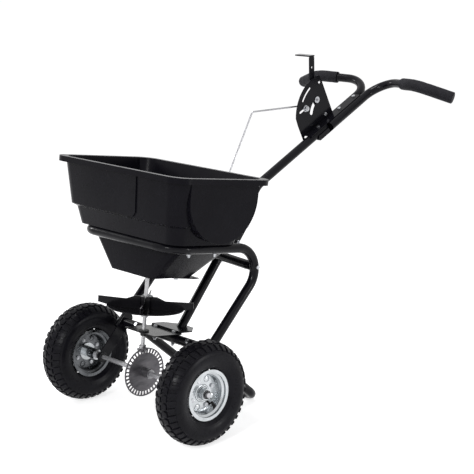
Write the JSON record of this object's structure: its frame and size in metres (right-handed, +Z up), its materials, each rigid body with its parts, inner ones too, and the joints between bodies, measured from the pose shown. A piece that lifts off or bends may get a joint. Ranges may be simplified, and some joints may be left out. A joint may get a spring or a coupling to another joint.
{
  "type": "walk-behind garden spreader",
  "caption": "Two-wheeled push spreader with a moulded hopper, bent-tube frame, gear-driven impeller, quadrant with control lever, and a two-grip tube handle.",
  "frame": {"origin": "on the ground, in the middle of the whole machine's length and width", "axes": "+X is the right side as the machine is pushed towards -Y, +Z is up, and the handle reaches back along +Y"},
  "size_m": [0.5806, 1.0219, 0.8877],
  "materials": {
    "hopper_moulding": "satin moulded plastic",
    "black_paint": "gloss powder coat",
    "tyre_rubber": "matt tread rubber",
    "tube_rubber": "matt",
    "grip_foam": "closed-cell foam, matt",
    "nylon": "moulded nylon",
    "rim_zinc": "zinc plated pressing",
    "impeller_plastic": "gloss moulding",
    "bright_steel": "bright drawn bar",
    "gear_zinc": "zinc plated sheet",
    "sintered_steel": "machined steel",
    "zinc_fastener": "zinc plated fastener"
  },
  "bodies": {
    "frame": {"hopper": "hopper_moulding", "hopper_bolts": "zinc_fastener", "frame_loop": "black_paint", "rear_crossbar": "black_paint", "lower_crossbar": "black_paint", "frame_bolts": "zinc_fastener", "axle_brackets": "black_paint", "axle_bushings": "nylon", "rear_stand": "black_paint", "stand_bolts": "zinc_fastener", "bearing_bracket": "black_paint", "bracket_bolts": "zinc_fastener", "shaft_bushing": "nylon", "floor_bushing": "nylon", "lower_post": "black_paint", "handle_post": "black_paint", "post_clamp": "black_paint", "clamp_bolts": "zinc_fastener", "handle_tube_right": "black_paint", "handle_tube_left": "black_paint", "grip_right": "grip_foam", "grip_left": "grip_foam", "lower_strap": "black_paint", "handle_bolts": "zinc_fastener", "quadrant_plate": "black_paint", "lever_bolt": "zinc_fastener", "gate_bolts": "zinc_fastener"},
    "drive": {"axle": "bright_steel", "drive_gear": "gear_zinc", "gear_hub": "sintered_steel", "gear_pin": "zinc_fastener", "tyre_right": "tyre_rubber", "inner_tube_right": "tube_rubber", "rim_outer_right": "rim_zinc", "rim_inner_right": "rim_zinc", "hub_right": "sintered_steel", "rim_bolts_right": "zinc_fastener", "drive_pin": "zinc_fastener", "axle_spacers": "bright_steel", "axle_clips": "zinc_fastener"},
    "left_wheel": {"tyre_left": "tyre_rubber", "inner_tube_left": "tube_rubber", "rim_outer_left": "rim_zinc", "rim_inner_left": "rim_zinc", "hub_left": "sintered_steel", "rim_bolts_left": "zinc_fastener", "wheel_bearings": "bright_steel"},
    "spinner": {"impeller": "impeller_plastic", "impeller_shaft": "bright_steel", "pinion": "sintered_steel", "pinion_pin": "zinc_fastener", "agitator": "bright_steel", "hairpin": "bright_steel", "shaft_collar": "sintered_steel"},
    "lever": {"control_lever": "black_paint"},
    "rod": {"control_rod": "bright_steel", "rod_washers": "zinc_fastener"},
    "stop": {"rate_stop": "zinc_fastener"},
    "gate": {"gate_plate": "black_paint"}
  },
  "joints": [
    {"name": "axle_spin", "type": "hinge", "parent": "frame", "child": "drive", "pos_m": [0, -0.38084, 0.13], "axis": [1, 0, 0], "continuous": true},
    {"name": "left_wheel_spin", "type": "hinge", "parent": "frame", "child": "left_wheel", "pos_m": [-0.2295, -0.38084, 0.13], "axis": [1, 0, 0], "continuous": true},
    {"name": "impeller_spin", "type": "hinge", "parent": "frame", "child": "spinner", "pos_m": [0, -0.38084, 0.13], "axis": [0, 0.1045, 0.9945], "continuous": true},
    {"name": "lever_turn", "type": "hinge", "parent": "frame", "child": "lever", "pos_m": [0, 0.30141, 0.72196], "axis": [1, 0, 0], "range_deg": [0, 30]},
    {"name": "rod_turn", "type": "hinge", "parent": "lever", "child": "rod", "pos_m": [-0.0268, 0.2685, 0.76477], "axis": [1, 0, 0], "range_deg": [-33.1, 0]},
    {"name": "gate_slide", "type": "slide", "parent": "frame", "child": "gate", "axis": [0, -0.9905, 0.1374], "range_m": [0, 0.0387]},
    {"name": "stop_slide", "type": "slide", "parent": "frame", "child": "stop", "axis": [0, -0.8922, -0.4517], "range_m": [0, 0.022]}
  ],
  "couplings": [
    {"joint": "impeller_spin", "follows": "axle_spin", "ratio": -4.5},
    {"joint": "rod_turn", "follows": "lever_turn", "ratio": -1.1013},
    {"joint": "gate_slide", "follows": "lever_turn", "m_per_rad": 0.07364}
  ]
}
